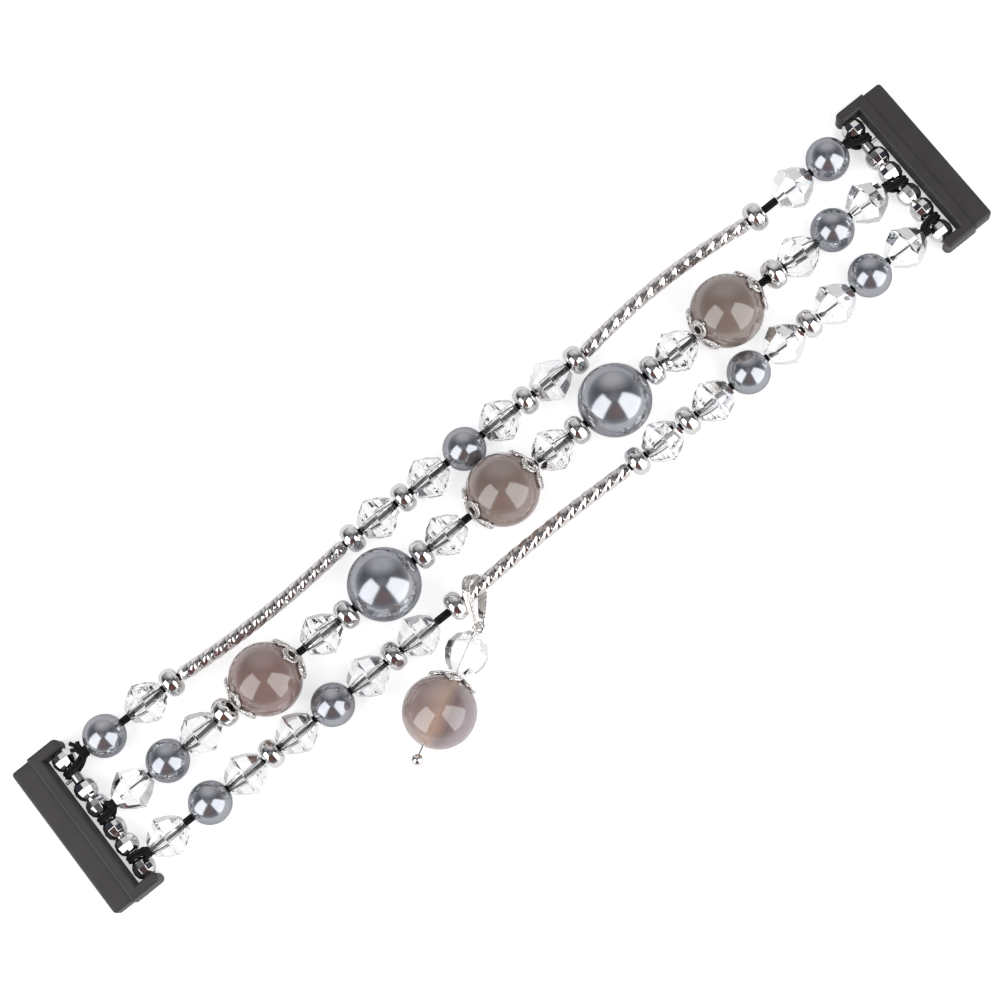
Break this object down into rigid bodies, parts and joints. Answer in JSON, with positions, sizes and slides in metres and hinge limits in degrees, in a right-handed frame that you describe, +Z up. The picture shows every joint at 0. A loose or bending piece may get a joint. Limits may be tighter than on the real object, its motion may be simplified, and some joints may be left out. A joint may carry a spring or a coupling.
{
  "type": "bead watch band",
  "caption": "Elastic bead band for a smart watch: rows of pearls, crystals, agates and tubes between two spring-bar connectors, with a hanging charm",
  "frame": {"origin": "on the table under the middle row, midway between the two spring bars", "axes": "+X along the band to the upper-right connector, +Y across it away from the charm, +Z up from the table, which is the wrist side"},
  "size_m": [0.1484, 0.0347, 0.0099],
  "materials": {
    "connector": "satin charcoal moulding",
    "spring_bar": "bright turned steel",
    "silver": "bright rhodium plate",
    "pearl": "pearl lustre, blue-grey",
    "crystal": "clear cut crystal",
    "agate": "polished translucent taupe",
    "elastic": "black elastic thread"
  },
  "bodies": {
    "left_connector": {"left_connector": "connector", "left_spring_bar": "spring_bar", "left_bar_spring": "spring_bar"},
    "left_facets": {"left_facet_beads": "silver"},
    "left_release": {"left_release_pin": "spring_bar"},
    "left_run": {"left_pearls": "pearl", "left_bicones": "crystal", "left_spacers": "silver", "upper_elastic": "elastic", "middle_elastic": "elastic", "lower_elastic": "elastic"},
    "upper_left": {"upper_left_tube": "silver"},
    "upper_left_inner": {"upper_left_inner_bicones": "crystal", "upper_left_inner_spacers": "silver"},
    "upper_middle": {"upper_middle_pearl": "pearl"},
    "upper_right_inner": {"upper_right_inner_bicones": "crystal", "upper_right_inner_spacers": "silver"},
    "upper_right": {"upper_right_tube": "silver"},
    "middle_left": {"middle_left_agate": "agate", "middle_left_caps": "silver"},
    "middle_left_inner": {"middle_left_inner_bicones": "crystal", "middle_left_inner_spacers": "silver", "middle_left_inner_large_pearl": "pearl"},
    "middle_centre": {"middle_centre_agate": "agate", "middle_centre_caps": "silver"},
    "middle_right_inner": {"middle_right_inner_bicones": "crystal", "middle_right_inner_spacers": "silver", "middle_right_inner_large_pearl": "pearl"},
    "middle_right": {"middle_right_agate": "agate", "middle_right_caps": "silver"},
    "lower_left": {"lower_left_bicones": "crystal", "lower_left_pearl": "pearl"},
    "lower_left_inner": {"lower_left_inner_bicone": "crystal", "lower_left_inner_spacers": "silver"},
    "lower_middle": {"lower_middle_tube": "silver"},
    "lower_right_inner": {"lower_right_inner_bicone": "crystal", "lower_right_inner_spacers": "silver"},
    "lower_right": {"lower_right_bicones": "crystal", "lower_right_pearl": "pearl"},
    "right_run": {"right_pearls": "pearl", "right_bicones": "crystal", "right_spacers": "silver"},
    "right_connector": {"right_connector": "connector", "right_spring_bar": "spring_bar", "right_bar_spring": "spring_bar"},
    "right_facets": {"right_facet_beads": "silver"},
    "right_release": {"right_release_pin": "spring_bar"},
    "bail": {"pendant_bail": "silver"},
    "drop": {"pendant_crystal": "crystal", "pendant_cap": "silver", "pendant_agate": "agate", "pendant_headpin": "silver"}
  },
  "joints": [
    {"name": "left_swing", "type": "hinge", "parent": "left_connector", "child": "left_run", "pos_m": [-0.0676, 0, 0.0019], "axis": [0, 1, 0], "range_deg": [-45, 75]},
    {"name": "left_facets_spin", "type": "hinge", "parent": "left_connector", "child": "left_facets", "pos_m": [-0.0676, 0, 0.0019], "axis": [0, 1, 0], "continuous": true},
    {"name": "left_lever", "type": "slide", "parent": "left_connector", "child": "left_release", "axis": [0, -1, 0], "range_m": [0, 0.0006], "stiffness_N_per_m": 1000, "springref_m": -0.001, "deforming": ["left_bar_spring"]},
    {"name": "right_swing", "type": "hinge", "parent": "right_run", "child": "right_connector", "pos_m": [0.0676, 0, 0.0019], "axis": [0, 1, 0], "range_deg": [-45, 75]},
    {"name": "right_facets_spin", "type": "hinge", "parent": "right_connector", "child": "right_facets", "pos_m": [0.0676, 0, 0.0019], "axis": [0, 1, 0], "continuous": true},
    {"name": "right_lever", "type": "slide", "parent": "right_connector", "child": "right_release", "axis": [0, -1, 0], "range_m": [0, 0.0006], "stiffness_N_per_m": 1000, "springref_m": -0.001, "deforming": ["right_bar_spring"]},
    {"name": "bail_lift", "type": "hinge", "parent": "lower_middle", "child": "bail", "pos_m": [-0.0108, -0.00788, 0.00295], "axis": [-1, 0, 0], "range_deg": [0, 90]},
    {"name": "drop_swing", "type": "hinge", "parent": "bail", "child": "drop", "pos_m": [-0.01332, -0.01208, 0.00295], "axis": [0, 0, 1], "range_deg": [0, 100]},
    {"name": "band_wrap", "type": "hinge", "parent": "left_run", "child": "middle_left", "pos_m": [-0.04515, 0, 0.0019], "axis": [0, 1, 0], "range_deg": [0, 35], "deforming": ["upper_elastic", "middle_elastic", "lower_elastic"]},
    {"name": "middle_left_inner_bend", "type": "hinge", "parent": "middle_left", "child": "middle_left_inner", "pos_m": [-0.03335, 0, 0.0019], "axis": [0, 1, 0], "range_deg": [0, 27.77]},
    {"name": "middle_centre_bend", "type": "hinge", "parent": "middle_left_inner", "child": "middle_centre", "pos_m": [-0.00565, 0, 0.0019], "axis": [0, 1, 0], "range_deg": [0, 42.54]},
    {"name": "middle_right_inner_bend", "type": "hinge", "parent": "middle_centre", "child": "middle_right_inner", "pos_m": [0.00615, 0, 0.0019], "axis": [0, 1, 0], "range_deg": [0, 40.09]},
    {"name": "middle_right_bend", "type": "hinge", "parent": "middle_right_inner", "child": "middle_right", "pos_m": [0.03285, 0, 0.0019], "axis": [0, 1, 0], "range_deg": [0, 29.48]},
    {"name": "right_run_bend", "type": "hinge", "parent": "middle_right", "child": "right_run", "pos_m": [0.04465, 0, 0.0019], "axis": [0, 1, 0], "range_deg": [0, 33.22]},
    {"name": "upper_left_bend", "type": "hinge", "parent": "left_run", "child": "upper_left", "pos_m": [-0.04841, 0, 0.0019], "axis": [0, 1, 0], "range_deg": [0, 37.49]},
    {"name": "upper_left_inner_bend", "type": "hinge", "parent": "upper_left", "child": "upper_left_inner", "pos_m": [-0.02044, 0, 0.0019], "axis": [0, 1, 0], "range_deg": [0, 40.54]},
    {"name": "upper_middle_bend", "type": "hinge", "parent": "upper_left_inner", "child": "upper_middle", "pos_m": [-0.00314, 0, 0.0019], "axis": [0, 1, 0], "range_deg": [0, 25.63]},
    {"name": "upper_right_inner_bend", "type": "hinge", "parent": "upper_middle", "child": "upper_right_inner", "pos_m": [0.00314, 0, 0.0019], "axis": [0, 1, 0], "range_deg": [0, 25.98]},
    {"name": "upper_right_bend", "type": "hinge", "parent": "upper_right_inner", "child": "upper_right", "pos_m": [0.02044, 0, 0.0019], "axis": [0, 1, 0], "range_deg": [0, 42.95]},
    {"name": "lower_left_bend", "type": "hinge", "parent": "left_run", "child": "lower_left", "pos_m": [-0.04368, 0, 0.0019], "axis": [0, 1, 0], "range_deg": [0, 40.05]},
    {"name": "lower_left_inner_bend", "type": "hinge", "parent": "lower_left", "child": "lower_left_inner", "pos_m": [-0.02577, 0, 0.0019], "axis": [0, 1, 0], "range_deg": [0, 29.09]},
    {"name": "lower_middle_bend", "type": "hinge", "parent": "lower_left_inner", "child": "lower_middle", "pos_m": [-0.01247, 0, 0.0019], "axis": [0, 1, 0], "range_deg": [0, 36.41]},
    {"name": "lower_right_inner_bend", "type": "hinge", "parent": "lower_middle", "child": "lower_right_inner", "pos_m": [0.01547, 0, 0.0019], "axis": [0, 1, 0], "range_deg": [0, 38.33]},
    {"name": "lower_right_bend", "type": "hinge", "parent": "lower_right_inner", "child": "lower_right", "pos_m": [0.02677, 0, 0.0019], "axis": [0, 1, 0], "range_deg": [0, 30.71]}
  ],
  "couplings": [
    {"joint": "middle_left_inner_bend", "follows": "band_wrap", "ratio": 0.793},
    {"joint": "middle_centre_bend", "follows": "band_wrap", "ratio": 1.215},
    {"joint": "middle_right_inner_bend", "follows": "band_wrap", "ratio": 1.145},
    {"joint": "middle_right_bend", "follows": "band_wrap", "ratio": 0.842},
    {"joint": "right_run_bend", "follows": "band_wrap", "ratio": 0.949},
    {"joint": "upper_left_bend", "follows": "band_wrap", "ratio": 1.071},
    {"joint": "upper_left_inner_bend", "follows": "band_wrap", "ratio": 1.158},
    {"joint": "upper_middle_bend", "follows": "band_wrap", "ratio": 0.732},
    {"joint": "upper_right_inner_bend", "follows": "band_wrap", "ratio": 0.742},
    {"joint": "upper_right_bend", "follows": "band_wrap", "ratio": 1.227},
    {"joint": "lower_left_bend", "follows": "band_wrap", "ratio": 1.144},
    {"joint": "lower_left_inner_bend", "follows": "band_wrap", "ratio": 0.831},
    {"joint": "lower_middle_bend", "follows": "band_wrap", "ratio": 1.04},
    {"joint": "lower_right_inner_bend", "follows": "band_wrap", "ratio": 1.095},
    {"joint": "lower_right_bend", "follows": "band_wrap", "ratio": 0.877}
  ]
}
